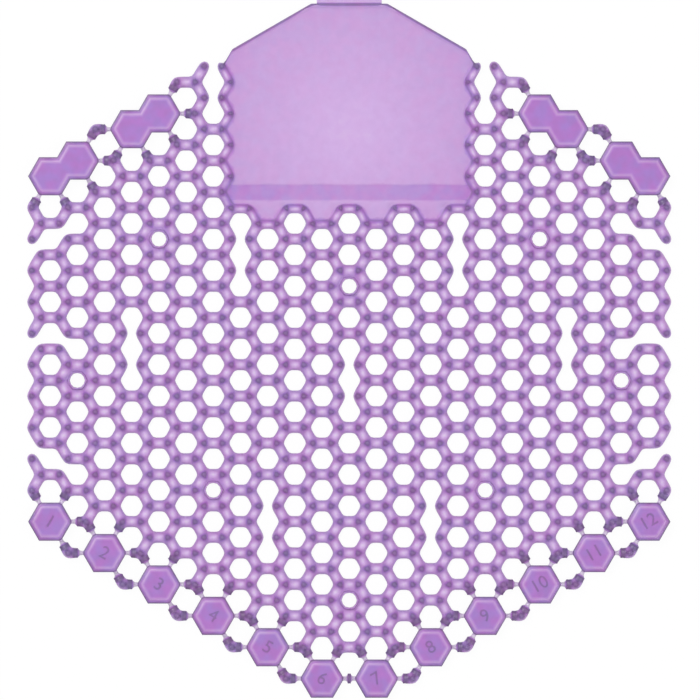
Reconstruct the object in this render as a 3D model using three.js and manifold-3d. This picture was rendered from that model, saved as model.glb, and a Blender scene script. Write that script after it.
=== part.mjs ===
// Urinal deodorizer screen: one flexible scented moulding that lies over the drain.
// A hexagonal honeycomb of ridged bars rises to a splash point on every joint. Tabs along its
// edges tear off at thin necks, short slots and notches let it bend to the bowl, and a thin
// plate at the top is where it is held. Millimetres, +Z up, flat moulded back on Z = 0.

import * as THREE from 'three';
import { mergeVertices } from 'three/addons/utils/BufferGeometryUtils.js';
import Module from 'manifold-3d';

// Honeycomb
const PITCH = 9; // between the centres of two neighbouring cells
const RINGS = 11; // cells from the middle one out to a corner of the hexagon
const BAR_WIDTH = 3; // at the back, from where both sides lean in to a ridge
const RIDGE_HEIGHT = 2.4; // halfway along a bar
const POINT_HEIGHT = 4; // at a joint

// Tear-off tabs
const TAB_ACROSS_FLATS = 10.9;
const TAB_HEIGHT = 3.2;
const TAB_CHAMFER = 0.7;
const NECK_WIDTH = 1.2;
const NECK_HEIGHT = 0.7;

// Eyelets: cells filled by a pad, with a round hole in a raised collar
const PAD_HEIGHT = 2;
const EYELET_HOLE_DIAMETER = 4.3;
const COLLAR_WALL = 1;
const COLLAR_HEIGHT = 1.2; // above the pad
const EYELET_SIDES = 12;

// Plate
const PLATE_THICKNESS = 1.6;
const PLATE_COLUMNS = 4; // each side of the middle column
const PLATE_LOWEST_ROW = 4.5;
const RIM_WIDTH = 0.9;
const RIM_HEIGHT = 0.4; // above the plate
const CORNER_CUT = 2.5; // of each edge, taken by the rounding of a corner
const CORNER_STEPS = 3;
const LIP_WIDTH = 18.6;
const LIP_LENGTH = 1.4; // beyond the plate's flat top edge

// A cell is named by its column and row. Column 0 is the middle one. Rows are counted in
// pitches from the middle cell, in whole numbers on even columns and in halves on odd ones.
// Each feature here is repeated on the left as its mirror image.
const reach = (column) => RINGS - Math.abs(column) / 2; // rows from the middle to the edge
const EYELETS = [[0, 2], [0, -8], [5, -4.5], [7, 3.5], [10, -1]];
const TWIN_TAB_COLUMNS = [[7, 8], [10, 11]]; // along the upper edges
const TAB_STEP = 2; // columns from one single tab to the next along the lower edges
const SLOT_TOP_CELLS = [[0, 0], [3, -4.5], [4, PLATE_LOWEST_ROW - 0.5], [5, reach(5) + 1], [8, 1]];
const SLOT_CELLS = 3;
const NOTCHES = [ // the cells that a notch joins, the last one outside the screen
	[[RINGS - 1, 4], [RINGS, 3.5], [RINGS + 1, 3]],
	[[RINGS - 1, 0], [RINGS, 0.5], [RINGS + 1, 0]],
	[[RINGS - 1, -4], [RINGS, -3.5], [RINGS + 1, -3]],
];

const SIDES = 6;
const COLUMN_STEP = PITCH * Math.sqrt(3) / 2;
const CORNER_PER_FLAT = 1 / Math.sqrt(3); // a hexagon's radius per width across flats
const CELL_RADIUS = PITCH * CORNER_PER_FLAT;
const TAB_RADIUS = TAB_ACROSS_FLATS * CORNER_PER_FLAT;
const PLATE_TOP = RINGS * PITCH;
const HIGHEST = PLATE_TOP + LIP_LENGTH;
const LOWEST = -(RINGS - 0.5) * PITCH - TAB_ACROSS_FLATS / 2;
const OVERCUT = 1; // by which a cutter passes the face it comes out of

const wasm = await Module();
wasm.setup();

// Cells

const nameOf = ([column, row]) => `${Math.abs(column)}/${row}`;

const singles = [];
for (let column = 1; column <= RINGS; column += TAB_STEP) {
	singles.push([column, -reach(column)]);
}
const twins = TWIN_TAB_COLUMNS.flat().map((column) => [column, reach(column)]);
const tabNames = new Set([...singles, ...twins].map(nameOf));
const eyeletNames = new Set(EYELETS.map(nameOf));

function kindOf(cell) {
	const [column, row] = cell;
	const beyond = Math.abs(column) > RINGS || Math.abs(row) > reach(column);
	const lowestTip = column === 0 && row === -RINGS;
	if (beyond || lowestTip) return 'outside';
	if (Math.abs(column) <= PLATE_COLUMNS && row >= PLATE_LOWEST_ROW) return 'plate';
	if (tabNames.has(nameOf(cell))) return 'tab';
	return eyeletNames.has(nameOf(cell)) ? 'eyelet' : 'open';
}

const cells = [];
for (let column = -RINGS; column <= RINGS; column++) {
	for (let row = -reach(column); row <= reach(column); row++) {
		cells.push([column, row]);
	}
}
const cellsOf = (kind) => cells.filter((cell) => kindOf(cell) === kind);

// Directions are counted in sixths of a turn from the right, anticlockwise.
function spoke(direction) {
	const angle = direction * 2 * Math.PI / SIDES;
	return new THREE.Vector2(Math.cos(angle), Math.sin(angle));
}

const centreOf = ([column, row]) => new THREE.Vector2(column * COLUMN_STEP, row * PITCH);
const cornerOf = (cell, corner) => centreOf(cell).addScaledVector(spoke(corner), CELL_RADIUS);

// The neighbour across a side, where side 0 faces up and to the right
const NEIGHBOURS = [[1, 0.5], [0, 1], [-1, 0.5], [-1, -0.5], [0, -1], [1, -0.5]];

function neighbourOf([column, row], side) {
	const [right, up] = NEIGHBOURS[side];
	return [column + right, row + up];
}

// Slots and notches are bars left out between two cells.
const pairName = (cell, other) => [nameOf(cell), nameOf(other)].sort().join(' ');
const leftOut = new Set();
for (const [column, top] of SLOT_TOP_CELLS) {
	for (let step = 1; step < SLOT_CELLS; step++) {
		leftOut.add(pairName([column, top - step + 1], [column, top - step]));
	}
}
for (const [inner, edge, outer] of NOTCHES) {
	leftOut.add(pairName(inner, edge));
	leftOut.add(pairName(edge, outer));
}

function hasBar(cell, other) {
	const kinds = [kindOf(cell), kindOf(other)];
	const besideHole = kinds.includes('open') || kinds.includes('eyelet');
	return besideHole && !kinds.includes('tab') && !leftOut.has(pairName(cell, other));
}

// Joints and bars

function jointName(point) {
	const thirds = Math.round(3 * point.x / COLUMN_STEP);
	const halves = Math.round(2 * point.y / PITCH);
	return `${thirds}/${halves}`;
}

const tabCorners = new Set();
for (const cell of cellsOf('tab')) {
	for (let corner = 0; corner < SIDES; corner++) tabCorners.add(jointName(cornerOf(cell, corner)));
}

// A joint has three ways out, a third of a turn apart, and keeps those that a bar takes.
const joints = new Map();

function jointAt(point, way) {
	const name = jointName(point);
	if (!joints.has(name)) {
		joints.set(name, { point, firstWay: way % 2, taken: new Set(), atTab: tabCorners.has(name) });
	}
	const joint = joints.get(name);
	joint.taken.add(way);
	return joint;
}

const bars = new Map();
for (const cell of cells) {
	for (let side = 0; side < SIDES; side++) {
		const from = cornerOf(cell, side);
		const to = cornerOf(cell, (side + 1) % SIDES);
		const name = [jointName(from), jointName(to)].sort().join(' ');
		if (bars.has(name) || !hasBar(cell, neighbourOf(cell, side))) continue;
		const way = (side + 2) % SIDES;
		const back = (way + 3) % SIDES;
		bars.set(name, { start: jointAt(from, way), end: jointAt(to, back), way, back });
	}
}

// A corner of a joint's triangle on the back lies opposite one of its three ways out.
function jointCorner(joint, way, width) {
	const corner = joint.point.clone().addScaledVector(spoke(way), -width * CORNER_PER_FLAT);
	return new THREE.Vector3(corner.x, corner.y, 0);
}

// The triangular section of a bar where it leaves a joint, as right, top and left seen from
// that joint. At a tab the bar ends in its neck.
function sectionAt(joint, way) {
	const width = joint.atTab ? NECK_WIDTH : BAR_WIDTH;
	const height = joint.atTab ? NECK_HEIGHT : POINT_HEIGHT;
	return [
		jointCorner(joint, (way + 2) % SIDES, width),
		new THREE.Vector3(joint.point.x, joint.point.y, height),
		jointCorner(joint, (way + 4) % SIDES, width),
	];
}

// One closed skin over every bar and joint. A bar's sides dip from both joints to the middle
// of its ridge.
function honeycomb() {
	const triangles = [];
	for (const { start, end, way, back } of bars.values()) {
		const [nearRight, nearTop, nearLeft] = sectionAt(start, way);
		const [farLeft, farTop, farRight] = sectionAt(end, back);
		const dip = nearTop.clone().lerp(farTop, 0.5).setZ(RIDGE_HEIGHT);
		triangles.push(nearRight, farRight, dip, nearRight, dip, nearTop, farRight, farTop, dip);
		triangles.push(nearLeft, dip, farLeft, nearLeft, nearTop, dip, farLeft, dip, farTop);
		triangles.push(nearLeft, farLeft, farRight, nearLeft, farRight, nearRight);
	}
	for (const joint of joints.values()) {
		if (joint.atTab) {
			for (const way of joint.taken) triangles.push(...sectionAt(joint, way));
			continue;
		}
		const ways = [joint.firstWay, joint.firstWay + 2, joint.firstWay + 4];
		for (const way of ways.filter((way) => !joint.taken.has(way))) {
			const [right, top, left] = sectionAt(joint, way);
			triangles.push(right, left, top);
		}
		triangles.push(...ways.reverse().map((way) => jointCorner(joint, way, BAR_WIDTH)));
	}
	return solidOf(new THREE.BufferGeometry().setFromPoints(triangles));
}

// Solids

function solidOf(geometry) {
	geometry.deleteAttribute('normal');
	geometry.deleteAttribute('uv');
	const merged = mergeVertices(geometry);
	return new wasm.Manifold(new wasm.Mesh({
		numProp: 3,
		vertProperties: merged.attributes.position.array,
		triVerts: new Uint32Array(merged.index.array),
	}));
}

// Half of a section, as pairs of radius and height, turned about a cell's centre
function turned(section, sides, cell) {
	const { x, y } = centreOf(cell);
	const profile = section.map(([radius, height]) => new THREE.Vector2(radius, height));
	const geometry = new THREE.LatheGeometry(profile, sides, Math.PI / 2);
	return solidOf(geometry.rotateX(Math.PI / 2).translate(x, y, 0));
}

function extruded(points, bottom, height) {
	const settings = { depth: height, bevelEnabled: false };
	const geometry = new THREE.ExtrudeGeometry(new THREE.Shape(points), settings);
	return solidOf(geometry.translate(0, 0, bottom));
}

const upright = (radius, bottom, top) => [[0, bottom], [radius, bottom], [radius, top], [0, top]];

function tab(cell) {
	const crownRadius = (TAB_ACROSS_FLATS - 2 * TAB_CHAMFER) * CORNER_PER_FLAT;
	const section = [
		[0, 0],
		[TAB_RADIUS, 0],
		[TAB_RADIUS, TAB_HEIGHT - TAB_CHAMFER],
		[crownRadius, TAB_HEIGHT],
		[0, TAB_HEIGHT],
	];
	return turned(section, SIDES, cell);
}

// The pad's sides end inside the bars around it.
function eyelet(cell) {
	const padRadius = (PITCH - BAR_WIDTH / 4) * CORNER_PER_FLAT;
	const hole = EYELET_HOLE_DIAMETER / 2;
	const top = PAD_HEIGHT + COLLAR_HEIGHT;
	const pad = turned(upright(padRadius, 0, PAD_HEIGHT), SIDES, cell);
	const collar = turned(upright(hole + COLLAR_WALL, 0, top), EYELET_SIDES, cell);
	const bore = turned(upright(hole, -OVERCUT, top + OVERCUT), EYELET_SIDES, cell);
	return pad.add(collar).subtract(bore);
}

// Plate

// The line of the screen's upper edge at a distance from the middle, set in by an inset
const EDGE_SLOPE = 1 / Math.sqrt(3);
const edgeAt = (x, inset) => PLATE_TOP + TAB_RADIUS - (inset * 2 + x) * EDGE_SLOPE;

function rounded(before, corner, after) {
	const cut = (end) => corner.clone().add(end.clone().sub(corner).setLength(CORNER_CUT));
	return new THREE.QuadraticBezierCurve(cut(before), corner, cut(after)).getPoints(CORNER_STEPS);
}

const mirrored = (points) => points.map(({ x, y }) => new THREE.Vector2(-x, y)).reverse();

// Below, the outline runs through the joints that the plate shares with the honeycomb. Above,
// it carries on the edges of the screen up to a flat top.
function plateOutline() {
	const below = [];
	for (let column = -PLATE_COLUMNS; column <= PLATE_COLUMNS; column++) {
		const row = PLATE_LOWEST_ROW + (column % 2 === 0 ? 0.5 : 0);
		below.push(cornerOf([column, row], 4), cornerOf([column, row], 5));
	}
	const beside = [];
	for (let row = PLATE_LOWEST_ROW + 0.5; row < reach(PLATE_COLUMNS); row++) {
		beside.push(cornerOf([PLATE_COLUMNS, row], 0), cornerOf([PLATE_COLUMNS, row], 1));
	}
	const lastJoint = cornerOf([PLATE_COLUMNS, reach(PLATE_COLUMNS)], 0);
	const shoulderX = cornerOf([PLATE_COLUMNS, 0], 1).x;
	const shoulder = new THREE.Vector2(shoulderX, edgeAt(shoulderX, 0));
	const tip = new THREE.Vector2(TAB_RADIUS / EDGE_SLOPE, PLATE_TOP);
	const top = new THREE.Vector2(0, PLATE_TOP);
	const right = [
		...beside,
		lastJoint,
		...rounded(lastJoint, shoulder, tip),
		...rounded(shoulder, tip, top),
	];
	return [...below, ...right, ...mirrored(right)];
}

// A low rim follows the plate's upper edges. The floor inside it is cut wider than the plate
// below, where the bars stand above the floor instead.
function plate() {
	const wide = RINGS * COLUMN_STEP;
	const top = PLATE_TOP - RIM_WIDTH;
	const tipX = (edgeAt(0, RIM_WIDTH) - top) / EDGE_SLOPE;
	const floor = [
		new THREE.Vector2(wide, 0),
		new THREE.Vector2(wide, edgeAt(wide, RIM_WIDTH)),
		new THREE.Vector2(tipX, top),
	];
	const body = extruded(plateOutline(), 0, PLATE_THICKNESS + RIM_HEIGHT);
	const recess = extruded([...floor, ...mirrored(floor)], PLATE_THICKNESS, RIM_HEIGHT + OVERCUT);
	const lip = [new THREE.Vector2(LIP_WIDTH / 2, top), new THREE.Vector2(LIP_WIDTH / 2, HIGHEST)];
	return body.subtract(recess).add(extruded([...lip, ...mirrored(lip)], 0, PLATE_THICKNESS));
}

// Screen

let screen = honeycomb().add(plate());
for (const cell of cellsOf('tab')) screen = screen.add(tab(cell));
for (const cell of cellsOf('eyelet')) screen = screen.add(eyelet(cell));

const { vertProperties, triVerts } = screen.getMesh();
const indexed = new THREE.BufferGeometry();
indexed.setAttribute('position', new THREE.BufferAttribute(vertProperties, 3));
indexed.setIndex(new THREE.BufferAttribute(triVerts, 1));
const faceted = indexed.toNonIndexed();
faceted.computeVertexNormals();

const scentedPlastic = new THREE.MeshStandardMaterial({ color: 0xb896d2, roughness: 0.5, metalness: 0 });
const mesh = new THREE.Mesh(faceted, scentedPlastic);
mesh.name = 'screen';

const model = new THREE.Group();
model.add(mesh);
model.position.y = -(HIGHEST + LOWEST) / 2;

export default model;
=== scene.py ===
"""Dresses the moulded honeycomb drain screen: one soft translucent piece, lying on its flat back."""

from __future__ import annotations

import logging
import math
from dataclasses import dataclass, field
from enum import Enum

import bmesh
import bpy
from bmesh.types import BMEdge, BMFace, BMVert
from mathutils import Matrix, Vector


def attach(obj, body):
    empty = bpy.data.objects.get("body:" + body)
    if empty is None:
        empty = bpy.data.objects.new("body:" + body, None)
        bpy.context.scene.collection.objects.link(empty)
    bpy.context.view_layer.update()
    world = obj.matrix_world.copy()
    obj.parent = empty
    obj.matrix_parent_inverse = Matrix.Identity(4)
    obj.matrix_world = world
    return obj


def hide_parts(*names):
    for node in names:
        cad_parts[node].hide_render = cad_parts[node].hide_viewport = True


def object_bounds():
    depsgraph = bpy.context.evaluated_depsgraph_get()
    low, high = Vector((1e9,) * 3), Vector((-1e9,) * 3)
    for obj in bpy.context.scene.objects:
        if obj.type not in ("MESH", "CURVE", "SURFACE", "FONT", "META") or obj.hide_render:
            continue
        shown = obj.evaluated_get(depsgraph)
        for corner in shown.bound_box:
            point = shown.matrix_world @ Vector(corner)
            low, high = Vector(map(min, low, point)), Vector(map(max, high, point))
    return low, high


bpy.ops.wm.read_factory_settings(use_empty=True)
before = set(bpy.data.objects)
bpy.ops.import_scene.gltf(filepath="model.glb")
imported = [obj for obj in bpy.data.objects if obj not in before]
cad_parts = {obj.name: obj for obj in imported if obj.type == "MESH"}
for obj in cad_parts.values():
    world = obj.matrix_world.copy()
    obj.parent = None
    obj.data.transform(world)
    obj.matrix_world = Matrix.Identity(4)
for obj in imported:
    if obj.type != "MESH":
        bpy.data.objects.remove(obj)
CAD_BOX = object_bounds()

LOG = logging.getLogger("screen")
MM = 0.001
SIDES = 6
SLANT = math.pi / 6
CORNER_PER_FLAT = 1 / math.sqrt(3)

# The slack in a test of place, and the smaller one within which doubles are merged
NEAR = 0.01 * MM
WELD = 0.001 * MM

# An edge lies across a direction if less than this share of it runs along it
ACROSS = 0.1

# The colour sockets of a Mix node, whose sockets for numbers have the same names
MIX_A, MIX_B, MIX_RESULT = 6, 7, 2

# A cell's column and row, and a corner's place on the grid of all corners
Cell = tuple[int, float]
Place = tuple[int, int]
Colour = tuple[float, float, float]


class Kind(Enum):
    """What a honeycomb cell holds."""

    OUTSIDE = "outside"
    OPEN = "open"
    EYELET = "eyelet"
    TAB = "tab"
    PLATE = "plate"


class Role(Enum):
    """What a face of the sheet belongs to."""

    JOINT = 1
    BAR = 2
    NECK = 3
    TAB = 4
    PAD = 5
    COLLAR = 6
    PLATE = 7
    RIM = 8
    WALL = 9
    BACK = 10
    POST = 11
    BEVEL = 12
    GROOVE = 13
    BORDER = 14


# The neighbour across a cell's side, where side 0 faces up and to the right
NEIGHBOURS = ((1, 0.5), (0, 1), (-1, 0.5), (-1, -0.5), (0, -1), (1, -0.5))

# How deep the colour looks at a corner, by the first of these roles that it touches.
# The pale bar crowns are a painted highlight, and the darker groove, walls and back are painted
# shade.
FACE_DEPTHS_AND_SHADES = (
    (Role.POST, 2.15),
    (Role.COLLAR, 1.3),
    (Role.PAD, 1.2),
    (Role.NECK, 2.25),
    (Role.BORDER, 1.8),
    (Role.BEVEL, 1.0),
    (Role.TAB, 1.55),
    (Role.JOINT, 1.04),
    (Role.RIM, 0.85),
    (Role.PLATE, 0.8),
    (Role.GROOVE, 1.75),
    (Role.BAR, 0.42),
    (Role.WALL, 1.3),
    (Role.BACK, 1.2),
)

# The same, asked first at a corner that also touches a wall: painted shade, which draws
# the sides of bars, joints, pads, collars, tab borders and the groove step darker than their tops
WALL_SHADES = (
    (Role.BORDER, 2.3),
    (Role.GROOVE, 2.5),
    (Role.BAR, 1.22),
    (Role.JOINT, 1.22),
    (Role.COLLAR, 1.22),
    (Role.PAD, 1.22),
)


def spoke(direction: int) -> Vector:
    """Gives a unit vector in a direction counted in sixths of a turn from +X.

    Args:
        direction: Number of sixths of a turn, anticlockwise.

    Returns:
        The unit vector, flat.
    """
    angle = direction * math.tau / SIDES
    return Vector((math.cos(angle), math.sin(angle), 0))


def place_name(point: Vector, pitch: float) -> Place:
    """Names a cell corner by its place on the grid of all corners.

    Args:
        point: The corner, from the middle cell.
        pitch: Distance between neighbouring cells.

    Returns:
        Two whole numbers that no other corner has.
    """
    column_step = pitch * math.sqrt(3) / 2
    return round(3 * point.x / column_step), round(2 * point.y / pitch)


def add_piece(mesh: bpy.types.Mesh, material: bpy.types.Material) -> bpy.types.Object:
    """Puts a mesh into the scene, under its own name and with one finish.

    Args:
        mesh: The mesh.
        material: The finish.

    Returns:
        The new object.
    """
    mesh.materials.clear()
    mesh.materials.append(material)
    piece = bpy.data.objects.new(mesh.name, mesh)
    bpy.context.scene.collection.objects.link(piece)
    return piece


@dataclass
class Joint:
    """A corner where up to three bars meet.

    The joint has three ways out, a third of a turn apart. Its corners are the vertices of its
    triangle, each named by the way that it lies opposite.
    """

    point: Vector
    first_way: int
    taken: set[int] = field(default_factory=set)
    at_tab: bool = False
    corners: dict[int, BMVert] = field(default_factory=dict)
    neck: BMEdge | None = None

    @property
    def ways(self) -> tuple[int, int, int]:
        """The three ways out."""
        return self.first_way, self.first_way + 2, self.first_way + 4

    def mouth(self, way: int) -> tuple[BMVert, BMVert]:
        """Gives the corners right and left of where a bar leaves."""
        return self.corners[(way + 2) % SIDES], self.corners[(way + 4) % SIDES]


@dataclass
class Layout:
    """The plan of the screen: what each cell is, and where its bars and joints are."""

    pitch: float = 9 * MM
    rings: int = 11
    plate_columns: int = 4
    plate_lowest_row: float = 4.5
    slot_cells: int = 3
    tab_step: int = 2
    eyelets: tuple[Cell, ...] = ((0, 2), (0, -8), (5, -4.5), (7, 3.5), (10, -1))
    twin_tab_columns: tuple[tuple[int, int], ...] = ((7, 8), (10, 11))
    slot_tops: tuple[Cell, ...] = ((0, 0), (3, -4.5), (4, 4), (5, 9.5), (8, 1))
    notches: tuple[tuple[Cell, Cell, Cell], ...] = (
        ((10, 4), (11, 3.5), (12, 3)),
        ((10, 0), (11, 0.5), (12, 0)),
        ((10, -4), (11, -3.5), (12, -3)),
    )

    def __post_init__(self) -> None:
        """Works out the cells, the bars that are left out, and the joints and bars."""
        self.cell_radius = self.pitch * CORNER_PER_FLAT
        self.singles = [(c, -self.reach(c)) for c in range(1, self.rings + 1, self.tab_step)]
        twins = [(c, self.reach(c)) for pair in self.twin_tab_columns for c in pair]
        self.tab_names = {self.name(cell) for cell in [*self.singles, *twins]}
        self.eyelet_names = {self.name(cell) for cell in self.eyelets}
        self.left_out: set[frozenset[Cell]] = set()
        for column, top in self.slot_tops:
            for step in range(1, self.slot_cells):
                self.left_out.add(self.pair((column, top - step + 1), (column, top - step)))
        for inner, edge, outer in self.notches:
            self.left_out |= {self.pair(inner, edge), self.pair(edge, outer)}
        self.cells = [
            (column, -self.reach(column) + step)
            for column in range(-self.rings, self.rings + 1)
            for step in range(int(2 * self.reach(column)) + 1)
        ]
        self.joints: dict[Place, Joint] = {}
        self.bars: dict[frozenset[Place], tuple[Joint, int, Joint, int]] = {}
        self.find_bars()

    def reach(self, column: int) -> float:
        """Gives how many rows a column runs from the middle to the edge."""
        return self.rings - abs(column) / 2

    @staticmethod
    def name(cell: Cell) -> Cell:
        """Gives the name that a cell shares with its mirror image."""
        return abs(cell[0]), float(cell[1])

    def pair(self, cell: Cell, other: Cell) -> frozenset[Cell]:
        """Names the bar between two cells."""
        return frozenset((self.name(cell), self.name(other)))

    def centre(self, cell: Cell) -> Vector:
        """Gives the middle of a cell."""
        return Vector((cell[0] * self.pitch * math.sqrt(3) / 2, cell[1] * self.pitch, 0))

    def cell_at(self, centre: Vector) -> Cell:
        """Gives the cell whose middle is at a point."""
        column = round(centre.x / (self.pitch * math.sqrt(3) / 2))
        return column, round(2 * centre.y / self.pitch) / 2

    def corner(self, cell: Cell, direction: int) -> Vector:
        """Gives one of a cell's corners."""
        return self.centre(cell) + spoke(direction) * self.cell_radius

    def kind(self, cell: Cell) -> Kind:
        """Says what a cell holds.

        Args:
            cell: The cell.

        Returns:
            The kind of thing that it holds.
        """
        column, row = cell
        beyond = abs(column) > self.rings or abs(row) > self.reach(column)
        if beyond or (column == 0 and row == -self.rings):
            return Kind.OUTSIDE
        if abs(column) <= self.plate_columns and row >= self.plate_lowest_row:
            return Kind.PLATE
        if self.name(cell) in self.tab_names:
            return Kind.TAB
        return Kind.EYELET if self.name(cell) in self.eyelet_names else Kind.OPEN

    def of_kind(self, kind: Kind) -> list[Cell]:
        """Lists the cells of one kind."""
        return [cell for cell in self.cells if self.kind(cell) is kind]

    def has_bar(self, cell: Cell, other: Cell) -> bool:
        """Says whether a bar runs between two neighbouring cells.

        Args:
            cell: One cell.
            other: The cell beside it.

        Returns:
            Whether there is a bar between them.
        """
        kinds = {self.kind(cell), self.kind(other)}
        beside_hole = bool(kinds & {Kind.OPEN, Kind.EYELET})
        return beside_hole and Kind.TAB not in kinds and self.pair(cell, other) not in self.left_out

    def joint_at(self, point: Vector, way: int) -> Joint:
        """Finds or adds the joint at a corner, and notes that a bar takes one of its ways.

        Args:
            point: The corner.
            way: The way that the bar takes.

        Returns:
            The joint.
        """
        key = place_name(point, self.pitch)
        joint = self.joints.setdefault(key, Joint(point, way % 2))
        joint.taken.add(way)
        return joint

    def add_bar(self, cell: Cell, side: int) -> None:
        """Adds the bar along one side of a cell, unless it is there already.

        Args:
            cell: The cell.
            side: Number of the side.
        """
        start = self.corner(cell, side)
        end = self.corner(cell, (side + 1) % SIDES)
        key = frozenset((place_name(start, self.pitch), place_name(end, self.pitch)))
        if key in self.bars:
            return
        way = (side + 2) % SIDES
        back = (way + 3) % SIDES
        self.bars[key] = (self.joint_at(start, way), way, self.joint_at(end, back), back)

    def find_bars(self) -> None:
        """Finds every bar of the honeycomb and the joints at its ends."""
        for cell in self.cells:
            for side, (right, up) in enumerate(NEIGHBOURS):
                if self.has_bar(cell, (cell[0] + right, cell[1] + up)):
                    self.add_bar(cell, side)
        for cell in self.of_kind(Kind.TAB):
            for direction in range(SIDES):
                key = place_name(self.corner(cell, direction), self.pitch)
                if key in self.joints:
                    self.joints[key].at_tab = True


@dataclass
class MouldedSheet:
    """The whole moulding, drawn flat as one sheet of faces and then given its heights.

    Every corner of the sheet remembers how high the front of the moulding rises over it.
    """

    layout: Layout
    bar_width: float = 3.2 * MM
    shoulder_height: float = 1.75 * MM
    crown_height: float = 2.5 * MM
    post_height: float = 4.05 * MM
    neck_width: float = 1.2 * MM
    neck_height: float = 0.8 * MM
    stump_width: float = 2.88 * MM
    neck_stations: tuple[tuple[float, bool], ...] = (
        (0.2, True),
        (0.5, True),
        (0.66, False),
        (0.95, False),
    )
    double_neck_stations: tuple[tuple[float, bool], ...] = (
        (0.05, False),
        (0.3, False),
        (0.4, True),
        (0.6, True),
        (0.7, False),
        (0.95, False),
    )
    tab_across_flats: float = 10.9 * MM
    tab_height: float = 3.2 * MM
    tab_foot: float = 2.7 * MM
    tab_border: float = 0.45 * MM
    tab_border_height: float = 2.8 * MM
    tab_bevel: float = 0.7 * MM
    tab_middle: float = 0.9 * MM
    plate_thickness: float = 1.6 * MM
    rim_width: float = 0.9 * MM
    rim_slope: float = 0.3 * MM
    rim_height: float = 0.4 * MM
    lip_width: float = 18.6 * MM
    lip_length: float = 1.4 * MM
    lip_seam: float = 0.3 * MM
    pad_height: float = 2 * MM
    pad_border: float = 0.18 * MM
    collar_foot: float = 0.12 * MM
    collar_width: float = 0.57 * MM
    collar_height: float = 3.2 * MM
    corner_pin: float = 0.5
    post_radius: float = 0.95 * MM
    end_radius: float = 1.68 * MM
    full_side_share: float = 0.9
    plate_pull: float = 0.55
    groove_width: float = 0.5 * MM
    band_rows: tuple[float, float] = (42.7 * MM, 47 * MM)
    band_step: float = 0.25 * MM
    band_depth: float = 0.15 * MM
    back_crease: float = 1.0
    tab_pin: float = 1.0
    tab_crease: float = 1.0
    plate_crease: float = 0.7
    neck_depth: float = 0.2
    neck_shade_top: float = 1.3 * MM
    # A dark strip along the rim's outer edge, and painted shade along the seam where the groove
    # meets the bars
    rim_depth: float = 2.1
    seam_depth: float = 1.9
    plate_depth: float = 0.72
    # Painted highlight: the plate is drawn palest round a middle point and deeper in colour away
    # from it
    plate_depth_gain: float = 0.25
    plate_depth_reach: float = 30 * MM
    plate_middle: float = 62 * MM
    band_extra_depth: float = 0.35

    def __post_init__(self) -> None:
        """Starts an empty mesh and the layers that hold heights, creases and roles."""
        self.bm = bmesh.new()
        self.height = self.bm.verts.layers.float.new("height")
        self.pin = self.bm.verts.layers.float.new("crease_vert")
        self.crease = self.bm.edges.layers.float.new("crease_edge")
        self.role = self.bm.faces.layers.int.new("role")
        self.tab_radius = self.tab_across_flats * CORNER_PER_FLAT
        self.plate_top = self.layout.rings * self.layout.pitch
        self.rim_top = self.plate_thickness + self.rim_height
        self.plate_edges: list[tuple[Vector, Vector]] = []
        self.tab_verts: set[BMVert] = set()
        self.shift = Vector()

    def polygon(
        self, segments: int, radius: float, centre: Vector, turn: float
    ) -> list[BMVert]:
        """Adds a flat filled polygon.

        Args:
            segments: Number of corners.
            radius: Distance of each corner from the middle.
            centre: The middle.
            turn: Angle of the first corner from +X.

        Returns:
            The corners.
        """
        place = Matrix.Translation(centre) @ Matrix.Rotation(turn - math.pi / 2, 4, "Z")
        made = bmesh.ops.create_circle(
            self.bm, cap_ends=True, segments=segments, radius=radius, matrix=place
        )
        return made["verts"]

    def fill(self, corners: list[BMVert], role: Role) -> BMFace:
        """Fills in one face between corners that are already there.

        Args:
            corners: The corners, in order.
            role: What the face belongs to.

        Returns:
            The face.
        """
        face = bmesh.ops.contextual_create(self.bm, geom=corners)["faces"][0]
        face[self.role] = role.value
        return face

    def bridge(self, near: BMEdge, far: BMEdge, role: Role) -> None:
        """Bridges two edges with one face."""
        face = bmesh.ops.bridge_loops(self.bm, edges=[near, far])["faces"][0]
        face[self.role] = role.value

    def corner_kind(self, joint: Joint, way: int) -> Kind:
        """Says what the cell opposite one of a joint's ways holds."""
        centre = joint.point - spoke(way) * self.layout.cell_radius
        return self.layout.kind(self.layout.cell_at(centre))

    def corner_height(self, joint: Joint, way: int) -> float:
        """Gives the height over the corner of a joint that lies in one of its three cells."""
        heights = {Kind.PLATE: self.plate_thickness, Kind.EYELET: self.pad_height}
        return heights.get(self.corner_kind(joint, way), self.shoulder_height)

    def add_joint(self, joint: Joint, role: Role) -> None:
        """Adds a joint's triangle, and notes which corner lies opposite which way.

        Args:
            joint: The joint.
            role: What its face belongs to.
        """
        radius = self.bar_width * CORNER_PER_FLAT
        turn = joint.first_way * math.tau / SIDES + math.pi
        for vert in self.polygon(3, radius, joint.point, turn):
            arm = joint.point - vert.co
            way = round(math.atan2(arm.y, arm.x) * SIDES / math.tau) % SIDES
            joint.corners[way] = vert
            vert[self.height] = self.corner_height(joint, way)
            vert[self.pin] = self.corner_pin
            if role is Role.JOINT and self.corner_kind(joint, way) is Kind.PLATE:
                vert.co = joint.point + (vert.co - joint.point) * self.plate_pull
        vert.link_faces[0][self.role] = role.value

    def mouth(self, joint: Joint, way: int) -> BMEdge:
        """Gives the edge of a joint, or of the tab over it, that a bar leaves from.

        Args:
            joint: The joint.
            way: The bar's way out.

        Returns:
            The edge.
        """
        if joint.at_tab:
            return joint.neck
        return self.bm.edges.get(joint.mouth(way))

    def add_bar(self, start: Joint, way: int, end: Joint, back: int) -> None:
        """Adds a bar between two joints, with a neck wherever it meets a tab.

        Args:
            start: The joint that the bar leaves.
            way: The direction in which it leaves.
            end: The joint that it reaches.
            back: The direction back to its start.
        """
        near = self.mouth(start, way)
        far = self.mouth(end, back)
        if start.at_tab or end.at_tab:
            self.add_neck_bar(start, way, end, near, far)
        else:
            self.bridge(near, far, Role.BAR)

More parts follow.
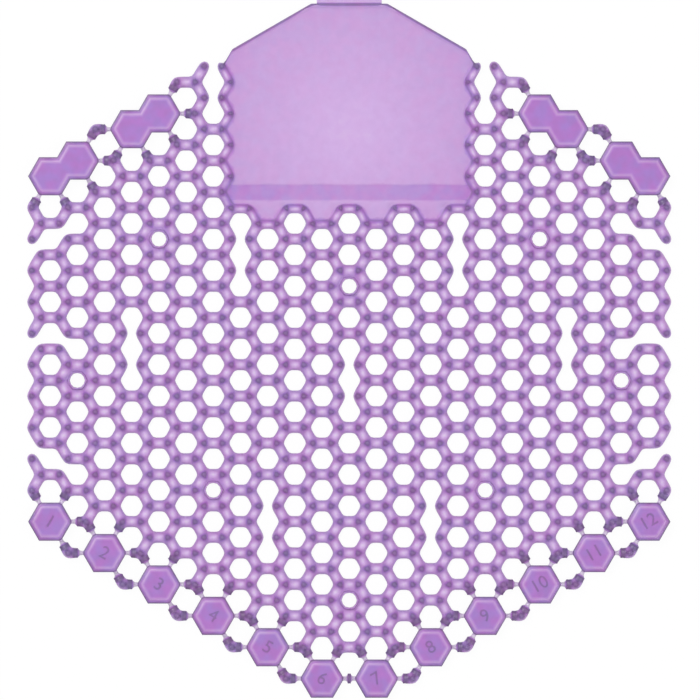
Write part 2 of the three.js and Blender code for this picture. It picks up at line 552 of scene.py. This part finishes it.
    def stations(self, tab_first: bool, tab_last: bool) -> list[tuple[float, float, float]]:
        """Lists the places along a bar where its thickness changes for a neck.

        Args:
            tab_first: Whether the bar starts at a tab.
            tab_last: Whether it ends at one.

        Returns:
            The share of the way, half the width and the height at each place.
        """
        places = list(self.neck_stations)
        if tab_first and tab_last:
            places = list(self.double_neck_stations)
        elif tab_first:
            places = [(1 - share, thick) for share, thick in reversed(places)]
        sizes = {
            True: (self.stump_width / 2, self.shoulder_height),
            False: (self.neck_width / 2, self.neck_height),
        }
        return [(share, *sizes[thick]) for share, thick in places]

    def draw_out(self, edges: list[BMEdge]) -> tuple[list[BMVert], list[BMEdge]]:
        """Draws faces out of edges. Their far edges still lie at the same place.

        Args:
            edges: The edges.

        Returns:
            The corners of the far edges, and the far edges.
        """
        drawn = bmesh.ops.extrude_edge_only(self.bm, edges=edges)["geom"]
        verts = [item for item in drawn if isinstance(item, BMVert)]
        far = [e for e in drawn if isinstance(e, BMEdge) and all(v in verts for v in e.verts)]
        return verts, far

    def halve(self, edges: list[BMEdge]) -> list[BMVert]:
        """Cuts edges in the middle, and lets the new corners be smoothed freely.

        Args:
            edges: The edges.

        Returns:
            The new corners.
        """
        made = bmesh.ops.subdivide_edges(self.bm, edges=edges, cuts=1)["geom_inner"]
        verts = [item for item in made if isinstance(item, BMVert)]
        for vert in verts:
            vert[self.pin] = 0
        return verts

    def add_neck_bar(
        self, start: Joint, way: int, end: Joint, near: BMEdge, far: BMEdge
    ) -> None:
        """Adds a bar that thins to a neck at one end or at both.

        Args:
            start: The joint that the bar leaves.
            way: The direction in which it leaves.
            end: The joint that it reaches.
            near: The edge that it leaves from.
            far: The edge that it reaches.
        """
        along = spoke(way)
        aside = Vector((-along.y, along.x, 0))
        first, last = (
            sum((vert.co - start.point).dot(along) for vert in edge.verts) / 2
            for edge in (near, far)
        )
        for share, half_width, height in self.stations(start.at_tab, end.at_tab):
            _, (near,) = self.draw_out([near])
            distance = first + (last - first) * share
            for vert in near.verts:
                sign = math.copysign(1, (vert.co - start.point).dot(aside))
                vert.co = start.point + along * distance + aside * sign * half_width
                vert[self.height] = height
            near.link_faces[0][self.role] = Role.NECK.value
        self.bridge(near, far, Role.NECK)

    def add_tab(self, cell: Cell, twin: Cell | None) -> None:
        """Adds a tab, cut off halfway to the twin that it is fused with, if there is one.

        Args:
            cell: The tab's cell.
            twin: The neighbouring cell that it is fused with, if there is one.
        """
        centre = self.layout.centre(cell)
        verts = self.polygon(SIDES, self.tab_radius, centre, 0)
        if twin:
            middle = (centre + self.layout.centre(twin)) / 2
            face = verts[0].link_faces[0]
            bmesh.ops.bisect_plane(
                self.bm,
                geom=[face, *face.edges, *face.verts],
                plane_co=middle,
                plane_no=(middle - centre).normalized(),
                clear_outer=True,
            )

    def cut_neck(self, joint: Joint) -> None:
        """Cuts the corner of a tab back to the width of the neck that meets it there.

        Args:
            joint: The joint under the corner.
        """
        (way,) = joint.taken
        along = spoke(way)
        tip_place = joint.point + along * (self.tab_radius - self.layout.cell_radius)
        tip = min(self.tab_verts, key=lambda vert: (vert.co - tip_place).length)
        self.tab_verts.discard(tip)
        cut = bmesh.ops.bevel(
            self.bm,
            geom=[tip],
            affect="VERTICES",
            offset=self.neck_width * CORNER_PER_FLAT,
            offset_type="OFFSET",
            segments=1,
            profile=0.5,
            material=-1,
        )
        for face in cut["faces"]:
            face[self.role] = Role.TAB.value
        corners = set(cut["verts"])
        for edge in {e for vert in corners for e in vert.link_edges}:
            span = edge.verts[1].co - edge.verts[0].co
            if corners.issuperset(edge.verts) and abs(span.dot(along)) < ACROSS * span.length:
                joint.neck = edge

    def add_tabs(self) -> None:
        """Adds every tab and cuts its corners for the necks."""
        for sign in (-1, 1):
            for column, row in self.layout.singles:
                self.add_tab((sign * column, row), None)
            for inner, outer in self.layout.twin_tab_columns:
                pair = [(sign * c, self.layout.reach(c)) for c in (inner, outer)]
                self.add_tab(*pair)
                self.add_tab(*reversed(pair))
        bmesh.ops.remove_doubles(self.bm, verts=self.bm.verts, dist=NEAR)
        self.tab_verts = set(self.bm.verts)
        for vert in self.bm.verts:
            vert[self.height] = self.tab_foot
            vert[self.pin] = self.tab_pin
        for face in self.bm.faces:
            face[self.role] = Role.TAB.value
        for joint in self.layout.joints.values():
            if joint.at_tab:
                self.cut_neck(joint)

    def add_eyelet(self, cell: Cell) -> None:
        """Fills a cell with a pad that has a raised collar and a hole.

        Args:
            cell: The cell.
        """
        layout = self.layout
        keys = [place_name(layout.corner(cell, d), layout.pitch) for d in range(SIDES)]
        rim = [layout.joints[key].corners[d] for d, key in enumerate(keys)]
        face = self.fill(rim, Role.PAD)
        steps = [
            (self.pad_border, self.pad_height, Role.PAD),
            (self.collar_foot, self.collar_height, Role.PAD),
            (self.collar_width, self.collar_height, Role.COLLAR),
        ]
        for thickness, height, role in steps:
            ring = bmesh.ops.inset_individual(self.bm, faces=[face], thickness=thickness)
            for around in ring["faces"]:
                around[self.role] = role.value
            for vert in face.verts:
                vert[self.height] = height
        bmesh.ops.delete(self.bm, geom=[face], context="FACES_ONLY")

    def plate_cells(self) -> list[Cell]:
        """Lists the plate's cells, with one more at the top of each column.

        Returns:
            The cells.
        """
        layout = self.layout
        cells = []
        for column in range(-layout.plate_columns, layout.plate_columns + 1):
            row = layout.plate_lowest_row + (0.5 if column % 2 == 0 else 0)
            while row <= layout.reach(column) + 1:
                cells.append((column, row))
                row += 1
        return cells

    def add_plate(self) -> None:
        """Fills the plate's cells, bars and joints, and a ring of spare ones past its edges."""
        layout = self.layout
        extra: dict[Place, Joint] = {}
        done: set[frozenset[Place]] = set()
        for cell in self.plate_cells():
            around = []
            for direction in range(SIDES):
                point = layout.corner(cell, direction)
                key = place_name(point, layout.pitch)
                if key not in layout.joints and key not in extra:
                    extra[key] = Joint(point, direction % 2)
                    self.add_joint(extra[key], Role.PLATE)
                around.append((key, layout.joints.get(key) or extra[key]))
            self.fill([joint.corners[d] for d, (_, joint) in enumerate(around)], Role.PLATE)
            for side in range(SIDES):
                (start_key, start), (end_key, end) = around[side], around[(side + 1) % SIDES]
                name = frozenset((start_key, end_key))
                if name in layout.bars or name in done:
                    continue
                done.add(name)
                way = (side + 2) % SIDES
                edges = [self.mouth(start, way), self.mouth(end, (way + 3) % SIDES)]
                self.bridge(*edges, Role.PLATE)

    def trim_plate(self) -> None:
        """Cuts the plate along its upper edges and marks the lines of its rim and lip."""
        layout = self.layout
        shoulder_cell = (layout.plate_columns, layout.reach(layout.plate_columns))
        rise, run = math.cos(SLANT), math.sin(SLANT)
        peak = Vector((0, self.plate_top + self.tab_radius, 0))
        edges = [(Vector((0, self.plate_top, 0)), Vector((0, 1, 0)))]
        for sign in (-1, 1):
            edges.append((peak, Vector((sign * run, rise, 0))))
            shoulder = layout.corner(shoulder_cell, 0)
            facing = Vector((rise, run, 0))
            flip = Vector((sign, 1, 1))
            self.slice_plate(shoulder * flip, facing * flip, True)
        self.plate_edges = edges
        for place, facing in edges:
            self.slice_plate(place, facing, True)
            for inset in (self.rim_width, self.rim_width + self.rim_slope):
                self.slice_plate(place - facing * inset, facing, False)
        for sign in (-1, 1):
            end = Vector((sign * self.lip_width / 2, 0, 0))
            self.slice_plate(end, Vector((sign, 0, 0)), False)

    def mark_band(self) -> None:
        """Marks out the shallow band low on the plate."""
        low, high = self.band_rows
        for y in (low - self.band_step, low, high, high + self.band_step):
            self.slice_plate(Vector((0, y, 0)), Vector((0, 1, 0)), False)
        for face in self.bm.faces:
            if face[self.role] == Role.PLATE.value:
                for vert in face.verts:
                    if self.in_band(vert.co):
                        vert[self.height] = self.plate_thickness - self.band_depth

    def in_band(self, point: Vector) -> bool:
        """Says whether a point of the plate lies in its band."""
        low, high = self.band_rows
        return low - NEAR < point.y < high + NEAR

    def slice_plate(self, place: Vector, facing: Vector, clear: bool) -> None:
        """Cuts the plate's faces along a line.

        Args:
            place: A point of the line.
            facing: The direction across the line.
            clear: Whether the faces past the line are taken away.
        """
        faces = self.front(Role.PLATE)
        edges = [e for e in self.bm.edges if Role.PLATE.value in self.roles(e)]
        verts = [v for v in self.bm.verts if Role.PLATE.value in self.roles(v)]
        bmesh.ops.bisect_plane(
            self.bm,
            geom=[*faces, *edges, *verts],
            dist=WELD,
            plane_co=place,
            plane_no=facing,
        )
        if clear:
            beyond = [
                face
                for face in self.front(Role.PLATE)
                if (face.calc_center_median() - place).dot(facing) > 0
            ]
            bmesh.ops.delete(self.bm, geom=beyond, context="FACES")

    def add_lip(self) -> None:
        """Draws the lip out of the middle of the plate's flat top edge."""
        edges = [
            e
            for e in self.bm.edges
            if e.is_boundary
            and all(abs(v.co.y - self.plate_top) < NEAR for v in e.verts)
            and all(abs(v.co.x) < self.lip_width / 2 + NEAR for v in e.verts)
        ]
        for step in (self.lip_seam, self.lip_length - self.lip_seam):
            verts, edges = self.draw_out(edges)
            bmesh.ops.translate(self.bm, verts=verts, vec=(0, step, 0))
            for vert in verts:
                vert[self.height] = self.plate_thickness
            for face in {f for e in edges for f in e.link_faces}:
                face[self.role] = Role.RIM.value

    def draw(self) -> None:
        """Draws the whole flat sheet."""
        layout = self.layout
        self.add_tabs()
        for joint in layout.joints.values():
            if not joint.at_tab:
                self.add_joint(joint, Role.JOINT)
        for bar in layout.bars.values():
            self.add_bar(*bar)
        for cell in layout.of_kind(Kind.EYELET):
            self.add_eyelet(cell)
        self.add_plate()
        self.trim_plate()
        self.mark_band()
        self.add_lip()
        self.halve_bars()
        self.round_ends()

    def halve_bars(self) -> None:
        """Adds a station halfway along each plain bar."""
        sides = [
            e
            for e in self.bm.edges
            if Role.BAR.value in self.roles(e) and Role.JOINT.value not in self.roles(e)
        ]
        self.halve(sides)

    def round_ends(self) -> None:
        """Rounds off the sides of joints that no bar leaves from."""
        sides = [
            e
            for e in self.bm.edges
            if e.is_boundary
            and Role.JOINT.value in self.roles(e)
            and e.calc_length() > self.full_side_share * self.bar_width
        ]
        for vert in {v for e in sides for v in e.verts}:
            vert[self.pin] = 0
        for vert in self.halve(sides):
            point = self.joint_under(vert.link_faces[0]).point
            vert.co = point + (vert.co - point).normalized() * self.end_radius

    def joint_under(self, face: BMFace) -> Joint:
        """Finds the joint that a face lies over."""
        middle = face.calc_center_median()
        return self.layout.joints[place_name(middle, self.layout.pitch)]

    def roles(self, item: BMVert | BMEdge) -> set[int]:
        """Gives the roles of the faces round a corner or an edge."""
        return {face[self.role] for face in item.link_faces}

    def front(self, role: Role) -> list[BMFace]:
        """Lists the faces with a role."""
        return [face for face in self.bm.faces if face[self.role] == role.value]

    def rise(self) -> None:
        """Gives the sheet a back and walls, and lifts its front to the heights noted."""
        flat = [*self.bm.faces, *self.bm.edges, *self.bm.verts]
        drawn = bmesh.ops.extrude_face_region(self.bm, geom=flat, use_keep_orig=True)["geom"]
        for item in drawn:
            if isinstance(item, BMVert):
                item.co.z = item[self.height]
        fronts = {item for item in drawn if isinstance(item, BMFace)}
        for face in self.bm.faces:
            if face not in fronts:
                low = all(vert.co.z < NEAR for vert in face.verts)
                face[self.role] = (Role.BACK if low else Role.WALL).value
        bmesh.ops.recalc_face_normals(self.bm, faces=self.bm.faces[:])

    def crown_bars(self) -> None:
        """Rounds the bars and necks by a higher line along their middle."""
        lattice = {Role.JOINT.value, Role.BAR.value, Role.NECK.value}
        across = [
            e
            for e in self.bm.edges
            if self.roles(e) <= lattice and self.roles(e) != {Role.JOINT.value}
        ]
        crown = self.crown_height / self.shoulder_height
        for vert in self.halve(across):
            vert.co.z *= crown

    def raise_posts(self) -> None:
        """Draws a short round post up out of every joint."""
        bmesh.ops.dissolve_faces(self.bm, faces=self.front(Role.JOINT))
        tops = bmesh.ops.extrude_discrete_faces(self.bm, faces=self.front(Role.JOINT))["faces"]
        for face in tops:
            face[self.role] = Role.POST.value
            point = self.joint_under(face).point
            for vert in face.verts:
                arm = vert.co - point
                arm.z = 0
                vert.co = point + arm.normalized() * self.post_radius
                vert.co.z = self.post_height
                vert[self.pin] = 0

    def crown_tabs(self) -> None:
        """Gives each tab, and each pair, a sloping border below its flat top."""
        tops = self.front(Role.TAB)
        steps = (
            (Role.BORDER, self.tab_border, self.tab_border_height),
            (Role.BEVEL, self.tab_bevel, self.tab_height),
            (Role.TAB, self.tab_middle, self.tab_height),
        )
        for role, thickness, height in steps:
            made = bmesh.ops.inset_region(
                self.bm,
                faces=tops,
                thickness=thickness,
                use_even_offset=True,
                use_boundary=True,
            )
            for face in made["faces"]:
                face[self.role] = role.value
            for vert in {v for face in tops for v in face.verts}:
                vert.co.z = height

    def raise_rim(self) -> None:
        """Raises the rim along the plate's upper edges."""
        made = bmesh.ops.inset_region(
            self.bm,
            faces=self.front(Role.PLATE),
            thickness=self.groove_width,
            use_even_offset=True,
            use_boundary=True,
        )
        for face in made["faces"]:
            face[self.role] = Role.GROOVE.value
        faces = self.front(Role.PLATE) + self.front(Role.GROOVE)
        for vert in {v for face in faces for v in face.verts}:
            inside = min((place - vert.co).dot(facing) for place, facing in self.plate_edges)
            if inside < self.rim_width + NEAR:
                vert.co.z = self.rim_top

    def at_tab(self, edge: BMEdge) -> bool:
        """Says whether an edge starts or ends at the outline of a tab's top."""
        return any(Role.BORDER.value in self.roles(vert) for vert in edge.verts)

    def hold_edges(self) -> None:
        """Keeps the back's edges and the tabs' outlines crisp when the mesh is smoothed."""
        for edge in self.bm.edges:
            roles = self.roles(edge)
            if roles == {Role.BACK.value, Role.WALL.value}:
                edge[self.crease] = self.back_crease
            elif roles == {Role.WALL.value} and self.at_tab(edge):
                edge[self.crease] = self.tab_crease
            elif roles in ({Role.BEVEL.value}, {Role.TAB.value}) or Role.BORDER.value in roles:
                edge[self.crease] = self.tab_crease
            elif Role.WALL.value in roles and roles & {Role.GROOVE.value, Role.RIM.value}:
                edge[self.crease] = self.plate_crease

    def depth_at(self, vert: BMVert) -> float:
        """Says how deep the plastic's colour looks at a corner, from the moulding's thickness with
        painted shade and painted highlight mixed in.

        Args:
            vert: The corner.

        Returns:
            The depth, painted shade and highlight included, which the finish turns into a shade.
        """
        roles = self.roles(vert)
        # The rim's top along the plate's outer edges is drawn as a dark strip
        if Role.GROOVE.value in roles and vert.co.z > self.rim_top - NEAR:
            return self.rim_depth
        if Role.PLATE.value in roles:
            # Painted highlight: the plate grows paler towards its middle point
            away = (vert.co.xy - Vector((0, self.plate_middle))).length
            depth_and_shading = self.plate_depth + self.plate_depth_gain * away / self.plate_depth_reach
            return depth_and_shading + (self.band_extra_depth if self.in_band(vert.co) else 0)
        if Role.NECK.value in roles and vert.co.z < self.neck_shade_top:
            return self.neck_depth
        walled = Role.WALL.value in roles
        beside_bar = bool(roles & {Role.BAR.value, Role.JOINT.value})
        # Painted shade: where the plate's groove meets a bar it is drawn darker, as in the shade
        # below the step
        if Role.GROOVE.value in roles and beside_bar and not walled:
            return self.seam_depth
        # Corners on a wall take the painted shade of the sides first
        depths = WALL_SHADES + FACE_DEPTHS_AND_SHADES if walled else FACE_DEPTHS_AND_SHADES
        return next(depth_and_shading for role, depth_and_shading in depths if role.value in roles)

    def shade(self) -> None:
        """Notes at every corner how deep the plastic's colour looks there, painted shade and
        highlight included.
        """
        layer = self.bm.verts.layers.float.new("depth_and_shading")
        for vert in self.bm.verts:
            vert[layer] = self.depth_at(vert)

    def build(self, material: bpy.types.Material, top: float) -> bpy.types.Object:
        """Makes the whole moulding as one smoothed piece.

        Args:
            material: Its finish.
            top: Y of its uppermost edge.

        Returns:
            The finished object.
        """
        self.draw()
        self.rise()
        self.crown_bars()
        self.raise_posts()
        self.crown_tabs()
        self.raise_rim()
        self.hold_edges()
        self.shade()
        self.shift = Vector((0, top - self.lip_length - self.plate_top, 0))
        bmesh.ops.translate(self.bm, verts=self.bm.verts, vec=self.shift)
        open_edges = sum(not edge.is_manifold for edge in self.bm.edges)
        LOG.info("open edges: %d", open_edges)
        mesh = bpy.data.meshes.new("moulded_screen")
        self.bm.to_mesh(mesh)
        self.bm.free()
        mesh.shade_smooth()
        screen = add_piece(mesh, material)
        smooth = screen.modifiers.new("smooth", "SUBSURF")
        smooth.levels = smooth.render_levels = 1
        return screen


@dataclass(frozen=True)
class SoftPlastic:
    """Soft, cloudy violet plastic, which looks deeper in colour where the moulding is thick, and
    which takes painted shade and painted highlight from the same layer.
    """

    name: str = "soft_plastic"
    shades: tuple[tuple[float, Colour], ...] = (
        (0.3, (0.831, 0.753, 0.888)),
        (0.75, (0.710, 0.480, 0.835)),
        (1.0, (0.640, 0.400, 0.750)),
        (1.5, (0.500, 0.235, 0.670)),
        (2.0, (0.320, 0.185, 0.430)),
        (2.4, (0.150, 0.095, 0.200)),
    )
    tints: tuple[tuple[float, Colour], ...] = (
        (0.35, (0.86, 0.98, 1.0)),
        (0.65, (1.0, 0.85, 0.95)),
    )
    deepest: float = 2.5
    mottle_scale: float = 420
    mottle_detail: float = 2
    mottle_depth: float = 0.3
    drift_scale: float = 260
    drift_detail: float = 1
    tint_gain: float = 1.4
    tint_offset: float = -1.0
    roughness: float = 0.34
    transmission: float = 0.35
    ior: float = 1.45

    def add_noise(
        self, tree: bpy.types.NodeTree, scale: float, detail: float
    ) -> bpy.types.NodeSocket:
        """Adds a cloudy pattern that stays with the piece.

        Args:
            tree: The material's nodes.
            scale: How fine the pattern is.
            detail: How many finer layers it has.

        Returns:
            The pattern's output.
        """
        where = tree.nodes.new("ShaderNodeTexCoord")
        noise = tree.nodes.new("ShaderNodeTexNoise")
        noise.inputs["Scale"].default_value = scale
        noise.inputs["Detail"].default_value = detail
        tree.links.new(where.outputs["Object"], noise.inputs["Vector"])
        return noise.outputs["Fac"]

    def add_sum(
        self,
        tree: bpy.types.NodeTree,
        source: bpy.types.NodeSocket,
        gain: float,
        offset: float | bpy.types.NodeSocket,
        clamp: bool = False,
    ) -> bpy.types.NodeSocket:
        """Adds a step that multiplies a value and adds to it.

        Args:
            tree: The material's nodes.
            source: The value.
            gain: What it is multiplied by.
            offset: What is added, a number or another value.
            clamp: Whether the result is kept between 0 and 1.

        Returns:
            The result.
        """
        step = tree.nodes.new("ShaderNodeMath")
        step.operation = "MULTIPLY_ADD"
        step.use_clamp = clamp
        step.inputs[1].default_value = gain
        tree.links.new(source, step.inputs[0])
        if isinstance(offset, float):
            step.inputs[2].default_value = offset
        else:
            tree.links.new(offset, step.inputs[2])
        return step.outputs["Value"]

    def add_ramp(
        self,
        tree: bpy.types.NodeTree,
        source: bpy.types.NodeSocket,
        stops: tuple[tuple[float, Colour], ...],
        span: float,
    ) -> bpy.types.NodeSocket:
        """Adds a colour ramp.

        Args:
            tree: The material's nodes.
            source: The value, from 0 to 1.
            stops: Level and colour of each stop.
            span: The level at the ramp's end.

        Returns:
            The colour.
        """
        ramp = tree.nodes.new("ShaderNodeValToRGB")
        elements = ramp.color_ramp.elements
        while len(elements) < len(stops):
            elements.new(1)
        for element, (level, colour) in zip(elements, stops):
            element.position = level / span
            element.color = (*colour, 1)
        tree.links.new(source, ramp.inputs["Fac"])
        return ramp.outputs["Color"]

    def build(self) -> bpy.types.Material:
        """Builds the material.

        Returns:
            The finished material.
        """
        material = bpy.data.materials.new(self.name)
        material.use_nodes = True
        tree = material.node_tree
        shader = tree.nodes["Principled BSDF"]
        shader.inputs["Roughness"].default_value = self.roughness
        shader.inputs["Transmission Weight"].default_value = self.transmission
        shader.inputs["IOR"].default_value = self.ior
        # The layer read here holds the colour's depth with painted shade and painted highlight mixed
        # in
        attribute = tree.nodes.new("ShaderNodeAttribute")
        attribute.attribute_name = "depth_and_shading"
        depth_and_shading = attribute.outputs["Fac"]
        mottle = self.add_noise(tree, self.mottle_scale, self.mottle_detail)
        sway = self.add_sum(tree, mottle, self.mottle_depth, -self.mottle_depth / 2)
        total = self.add_sum(tree, depth_and_shading, 1, sway)
        share = self.add_sum(tree, total, 1 / self.deepest, 0.0)
        shade = self.add_ramp(tree, share, self.shades, self.deepest)
        drift = self.add_noise(tree, self.drift_scale, self.drift_detail)
        tint = self.add_ramp(tree, drift, self.tints, 1)
        strength = self.add_sum(tree, depth_and_shading, self.tint_gain, self.tint_offset, clamp=True)
        tinted = tree.nodes.new("ShaderNodeMix")
        tinted.data_type = "RGBA"
        tinted.blend_type = "MULTIPLY"
        tree.links.new(strength, tinted.inputs["Factor"])
        tree.links.new(shade, tinted.inputs[MIX_A])
        tree.links.new(tint, tinted.inputs[MIX_B])
        tree.links.new(tinted.outputs[MIX_RESULT], shader.inputs["Base Color"])
        return material


@dataclass(frozen=True)
class PaleGround:
    """A white ground that looks white from everywhere and still takes a faint shadow."""

    name: str = "pale_ground"
    colour: Colour = (0.9, 0.9, 0.9)
    own_light: float = 0.95

    def build(self) -> bpy.types.Material:
        """Builds the material.

        Returns:
            The finished material.
        """
        material = bpy.data.materials.new(self.name)
        material.use_nodes = True
        nodes, links = material.node_tree.nodes, material.node_tree.links
        nodes.remove(nodes["Principled BSDF"])
        matt = nodes.new("ShaderNodeBsdfDiffuse")
        matt.inputs["Color"].default_value = (*self.colour, 1)
        glow = nodes.new("ShaderNodeEmission")
        path = nodes.new("ShaderNodeLightPath")
        seen = path.outputs["Is Camera Ray"]
        for ray in ("Is Glossy Ray", "Is Transmission Ray"):
            either = nodes.new("ShaderNodeMath")
            either.operation = "MAXIMUM"
            links.new(seen, either.inputs[0])
            links.new(path.outputs[ray], either.inputs[1])
            seen = either.outputs["Value"]
        share = nodes.new("ShaderNodeMath")
        share.operation = "MULTIPLY"
        share.inputs[1].default_value = self.own_light
        links.new(seen, share.inputs[0])
        mix = nodes.new("ShaderNodeMixShader")
        links.new(share.outputs["Value"], mix.inputs["Fac"])
        links.new(matt.outputs["BSDF"], mix.inputs[1])
        links.new(glow.outputs["Emission"], mix.inputs[2])
        links.new(mix.outputs["Shader"], nodes["Material Output"].inputs["Surface"])
        return material


@dataclass(frozen=True)
class Lamp:
    """A square lamp that faces the object."""

    name: str
    place: tuple[float, float, float]
    size: float
    power: float

    def hang(self) -> None:
        """Hangs the lamp in its place."""
        data = bpy.data.lights.new(self.name, "AREA")
        data.size = self.size
        data.energy = self.power
        lamp = bpy.data.objects.new(self.name, data)
        lamp.location = self.place
        lamp.rotation_euler = (-Vector(self.place)).to_track_quat("-Z", "Y").to_euler()
        bpy.context.scene.collection.objects.link(lamp)


@dataclass
class Studio:
    """The ground, the lamps and the camera straight above."""

    ground_size: float = 6.0
    ground_gap: float = 0.2 * MM
    camera_height: float = 3.0
    seen_width: float = 200.76 * MM
    sensor: float = 36.0
    aim: tuple[float, float] = (0.22 * MM, -0.52 * MM)
    sky_strength: float = 0.55
    lamps: tuple[Lamp, ...] = (
        Lamp("key_lamp", (-0.7, 0.6, 1.5), 1.0, 16),
        Lamp("fill_lamp", (0.9, -0.5, 1.3), 1.2, 9),
    )

    def build(self) -> None:
        """Builds the whole stage."""
        self.add_ground()
        self.add_sky()
        for lamp in self.lamps:
            lamp.hang()
        self.add_camera()

    def add_ground(self) -> None:
        """Lays a wide ground just under the object."""
        bm = bmesh.new()
        bmesh.ops.create_grid(bm, x_segments=1, y_segments=1, size=self.ground_size / 2)
        mesh = bpy.data.meshes.new("ground")
        bm.to_mesh(mesh)
        bm.free()
        ground = add_piece(mesh, PaleGround().build())
        ground.location.z = -self.ground_gap

    def add_sky(self) -> None:
        """Sets an even white sky."""
        world = bpy.data.worlds.new("sky")
        world.use_nodes = True
        shade = world.node_tree.nodes["Background"]
        shade.inputs["Color"].default_value = (1, 1, 1, 1)
        shade.inputs["Strength"].default_value = self.sky_strength
        bpy.context.scene.world = world

    def add_camera(self) -> None:
        """Hangs a camera with a long lens straight above."""
        data = bpy.data.cameras.new("camera")
        data.sensor_width = self.sensor
        data.lens = self.sensor * self.camera_height / self.seen_width
        camera = bpy.data.objects.new("camera", data)
        camera.location = (*self.aim, self.camera_height)
        bpy.context.scene.collection.objects.link(camera)
        bpy.context.scene.camera = camera


@dataclass
class TabNumbers:
    """Plain raised numbers, one on each single tab, that follow the slant of the lower edges."""

    layout: Layout
    tab_top: float
    size: float = 5.2 * MM
    rise: float = 0.12 * MM
    curve_steps: int = 4
    colour_depth: float = 1.9

    def build(self, material: bpy.types.Material, shift: Vector) -> list[bpy.types.Object]:
        """Makes the numbers.

        Args:
            material: Their finish.
            shift: How far the sheet's middle lies from the origin.

        Returns:
            The finished objects.
        """
        cells = sorted((side * c, row) for side in (-1, 1) for c, row in self.layout.singles)
        return [
            self.add_number(number, cell, material, shift)
            for number, cell in enumerate(cells, start=1)
        ]

    def add_number(
        self, number: int, cell: Cell, material: bpy.types.Material, shift: Vector
    ) -> bpy.types.Object:
        """Makes the number on one tab, as a flat mesh with straight sides.

        Args:
            number: The number.
            cell: The tab's cell.
            material: The number's finish.
            shift: How far the sheet's middle lies from the origin.

        Returns:
            The finished object.
        """
        curve = bpy.data.curves.new(f"tab_number_{number}", "FONT")
        curve.body = str(number)
        curve.size = self.size
        curve.extrude = self.rise
        curve.align_x = curve.align_y = "CENTER"
        curve.resolution_u = self.curve_steps
        place = self.layout.centre(cell) + shift + Vector((0, 0, self.tab_top))
        turn = math.copysign(SLANT, cell[0])
        draft = bpy.data.objects.new("draft", curve)
        mesh = bpy.data.meshes.new_from_object(draft)
        mesh.name = curve.name
        bm = bmesh.new()
        bm.from_mesh(mesh)
        bmesh.ops.remove_doubles(bm, verts=bm.verts, dist=WELD)
        bmesh.ops.transform(
            bm, verts=bm.verts, matrix=Matrix.Translation(place) @ Matrix.Rotation(turn, 4, "Z")
        )
        bmesh.ops.recalc_face_normals(bm, faces=bm.faces[:])
        bm.to_mesh(mesh)
        bm.free()
        depth_and_shading = mesh.attributes.new("depth_and_shading", "FLOAT", "POINT")
        for item in depth_and_shading.data:
            item.value = self.colour_depth
        piece = add_piece(mesh, material)
        bpy.data.objects.remove(draft)
        bpy.data.curves.remove(curve)
        return piece


def main() -> None:
    """Builds the screen and its stage, and notes the sizes."""
    logging.basicConfig(level=logging.INFO, format="%(name)s: %(message)s")
    bpy.context.scene.view_settings.view_transform = "Standard"
    plastic = SoftPlastic().build()
    sheet = MouldedSheet(Layout())
    screen = sheet.build(plastic, CAD_BOX[1][1])
    numbers = TabNumbers(sheet.layout, sheet.tab_height)
    for piece in numbers.build(plastic, sheet.shift):
        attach(piece, "root")
        LOG.info("%s: %d faces", piece.name, len(piece.data.polygons))
    LOG.info("%s: %d faces before smoothing", screen.name, len(screen.data.polygons))
    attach(screen, "root")
    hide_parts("screen")
    Studio().build()


if __name__ == "__main__":
    main()
